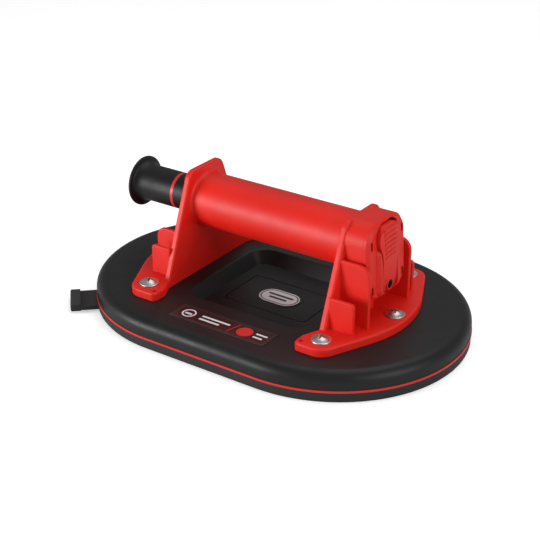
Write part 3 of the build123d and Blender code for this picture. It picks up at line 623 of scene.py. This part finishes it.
class LIFTER_OT_print(bpy.types.Operator):
    """Print a faint border and plain marks on the strip along the front."""

    bl_idname = "lifter.print"
    bl_label = "Printed strip"

    def execute(self, context):
        sizes = context.scene.lifter_print
        low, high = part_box("label_strip")
        bottom, top = high.z - SUNK, high.z + sizes.thickness
        mesh = bmesh.new()
        for step in range(2):
            inset = BORDER_MARGIN + step * (sizes.line + sizes.gap)
            width = sizes.line if step == 0 else sizes.line * INNER_LINE
            border(mesh, (low.x + inset, high.x - inset), (low.y + inset, high.y - inset),
                   (bottom, top), width)
        piece("strip_border", mesh, "faint_ink", "base", "print_film")
        middle_y = (low.y + high.y) / 2
        mesh = bmesh.new()
        bar_start = low.x + NAME_START
        for row, length in enumerate(NAME_LENGTHS):
            row_y = middle_y + NAME_RAISE - NAME_PITCH * row
            plate_block(mesh, (bar_start, bar_start + length), (row_y - NAME_HALF, row_y + NAME_HALF),
                        (bottom, top))
        for row in range(2):
            row_y = middle_y + LOAD_RAISE - LOAD_PITCH * row
            plate_block(mesh, (high.x - LOAD_START, high.x - LOAD_END - LOAD_STEP * row),
                        (row_y - LOAD_HALF, row_y + LOAD_HALF), (bottom, top))
        flat_ring(mesh, (low.x + RING_X, middle_y, bottom), RING_INNER, RING_OUTER, top - bottom)
        plate_block(mesh, [low.x + x for x in RING_BAR_X], [middle_y + y for y in RING_BAR_Y], (bottom, top))
        piece("strip_bars", mesh, "ink", "base", "print_film")
        mesh = bmesh.new()
        disc = bmesh.ops.create_cone(mesh, cap_ends=True, segments=64, radius1=DISC_RADIUS,
                                     radius2=DISC_RADIUS, depth=top - bottom)["verts"]
        bmesh.ops.translate(mesh, verts=disc, vec=(low.x + DISC_X, middle_y, (top + bottom) / 2))
        stripe = plate_block(mesh, (-STRIPE_HALF, STRIPE_HALF), (-STRIPE_REACH, STRIPE_REACH), (bottom, top))
        lean = Matrix.Rotation(math.radians(STRIPE_LEAN), 3, "Z")
        bmesh.ops.rotate(mesh, verts=stripe, cent=(0, 0, 0), matrix=lean)
        bmesh.ops.translate(mesh, verts=stripe, vec=(low.x + STRIPE_X, middle_y, 0))
        piece("strip_marks", mesh, "red_ink", "base", "print_film")
        return {"FINISHED"}


BADGE_THICKNESS = 0.00008
BADGE_RIM, BADGE_GAP = 0.0009, 0.0010
BADGE_BARS = ((-0.0023, 0.0075), (0.0023, 0.0105))     # (distance from the middle, half length)
BADGE_BAR_HALF = 0.0012


class LIFTER_OT_badge(bpy.types.Operator):
    """Print a light oval with two dark bars on the badge in the hand recess."""

    bl_idname = "lifter.badge"
    bl_label = "Recess badge"

    def execute(self, context):
        low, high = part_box("badge")
        half_x, half_y = (high.x - low.x) / 2, (high.y - low.y) / 2
        straight = half_x - half_y
        middle = ((low.x + high.x) / 2, (low.y + high.y) / 2, high.z - SUNK)
        inside = half_y - 2 * BADGE_RIM
        mesh = bmesh.new()
        flat_ring(mesh, middle, inside, half_y - BADGE_RIM, BADGE_THICKNESS, straight)
        flat_oval(mesh, middle, inside - BADGE_GAP, BADGE_THICKNESS, straight)
        piece("badge_rim", mesh, "ink", "base", "red_trim")
        mesh = bmesh.new()
        x, y, z = middle
        for offset, half in BADGE_BARS:
            plate_block(mesh, (x - half, x + half),
                        (y + offset - BADGE_BAR_HALF, y + offset + BADGE_BAR_HALF),
                        (z + BADGE_THICKNESS * 0.5, z + BADGE_THICKNESS * 1.5))
        piece("badge_bars", mesh, "film", "base", "print_film")
        return {"FINISHED"}


# Soft lamps: name, place, what it faces, size in metres, and its power as a share of a stage value.
LAMPS = (
    ("overhead", (0.05, 0.35, 1.2), (0, 0, 0), 1.1, "key", 1.0),
    ("front", (-0.95, -1.20, 0.14), (0, 0, 0.06), 0.8, "fill", 1.0),
    ("side", (1.2, -0.2, 0.5), (0, 0, 0.05), 0.7, "fill", 0.22),
)
FLOOR_HALF = 6.0
PAPER_DARK, PAPER_LIGHT = (0.86, 0.86, 0.86), (0.90, 0.90, 0.90)


class LIFTER_OT_stage(bpy.types.Operator):
    """Set up the floor, the soft light and the camera."""

    bl_idname = "lifter.stage"
    bl_label = "Stage"

    def execute(self, context):
        scene = context.scene
        stage = scene.lifter_stage
        floor_mesh = bmesh.new()
        bmesh.ops.create_grid(floor_mesh, x_segments=1, y_segments=1, size=FLOOR_HALF)
        data = bpy.data.meshes.new("floor")
        floor_mesh.to_mesh(data)
        floor_mesh.free()
        floor = bpy.data.objects.new("floor", data)
        scene.collection.objects.link(floor)
        paper, shader = new_material("pale_paper")
        cloud = object_noise(paper, 3.0, 2.0, 0.5)
        join(paper, two_tone(paper, cloud, PAPER_DARK, PAPER_LIGHT), shader.inputs["Base Color"])
        shader.inputs["Roughness"].default_value = 0.9
        shader.inputs["Emission Color"].default_value = (1, 1, 1, 1)
        seen = add_node(paper, "ShaderNodeLightPath")
        join(paper, spread(paper, seen.outputs["Is Camera Ray"], 0.0, stage.floor_glow, 0, 1),
             shader.inputs["Emission Strength"])
        data.materials.append(paper)
        world = bpy.data.worlds.new("studio")
        world.use_nodes = True
        world.node_tree.nodes["Background"].inputs["Color"].default_value = (1, 1, 1, 1)
        seen = add_node(world, "ShaderNodeLightPath")
        join(world, spread(world, seen.outputs["Is Camera Ray"], stage.backdrop, 1.0, 0, 1),
             world.node_tree.nodes["Background"].inputs["Strength"])
        scene.world = world
        scene.view_settings.view_transform = "Standard"
        for name, place, target, size, source, share in LAMPS:
            add_lamp(scene, name, place, target, size, getattr(stage, source) * share)
        camera_data = bpy.data.cameras.new("camera")
        camera_data.lens = stage.lens
        camera_data.sensor_width = 36.0
        camera_data.clip_start = 0.01
        camera = bpy.data.objects.new("camera", camera_data)
        camera.location = stage.camera
        camera.rotation_euler = aim(Vector(stage.camera), Vector(stage.target))
        scene.collection.objects.link(camera)
        scene.camera = camera
        return {"FINISHED"}


def aim(place, target):
    """The rotation that points an object's -Z from place to target."""
    return (target - place).to_track_quat("-Z", "Y").to_euler()


def add_lamp(scene, name, place, target, size, power):
    """A square soft lamp."""
    data = bpy.data.lights.new(name, "AREA")
    data.size = size
    data.energy = power
    lamp = bpy.data.objects.new(name, data)
    lamp.location = place
    lamp.rotation_euler = aim(Vector(place), Vector(target))
    scene.collection.objects.link(lamp)


class LIFTER_PT_panel(bpy.types.Panel):
    """Shows the lifter's settings and a button for each step."""

    bl_idname = "LIFTER_PT_panel"
    bl_label = "Vacuum Lifter"
    bl_space_type = "VIEW_3D"
    bl_region_type = "UI"
    bl_category = "Lifter"

    def draw(self, context):
        layout = self.layout
        for name in ("lifter_finish", "lifter_screws", "lifter_plunger", "lifter_print", "lifter_stage"):
            group = getattr(context.scene, name)
            column = layout.column(align=True)
            for key in group.__annotations__:
                column.prop(group, key)
        for operator in OPERATORS:
            layout.operator(operator.bl_idname)


GROUPS = {"lifter_finish": LifterFinish, "lifter_screws": LifterScrews, "lifter_plunger": LifterPlunger,
          "lifter_print": LifterPrint, "lifter_stage": LifterStage}
OPERATORS = (LIFTER_OT_finishes, LIFTER_OT_screws, LIFTER_OT_plunger, LIFTER_OT_print, LIFTER_OT_badge,
             LIFTER_OT_stage)


def register():
    """Make the properties, operators and panel known to Blender."""
    for cls in (*GROUPS.values(), *OPERATORS, LIFTER_PT_panel):
        bpy.utils.register_class(cls)
    for name, cls in GROUPS.items():
        setattr(bpy.types.Scene, name, bpy.props.PointerProperty(type=cls))


def unregister():
    """Take them away again."""
    for name in GROUPS:
        delattr(bpy.types.Scene, name)
    for cls in (LIFTER_PT_panel, *reversed(OPERATORS), *reversed(list(GROUPS.values()))):
        bpy.utils.unregister_class(cls)


def main():
    """Build every piece in order."""
    register()
    bpy.ops.lifter.finishes()
    bpy.ops.lifter.screws()
    bpy.ops.lifter.plunger()
    bpy.ops.lifter.print()
    bpy.ops.lifter.badge()
    bpy.ops.lifter.stage()


if __name__ == "__main__":
    main()
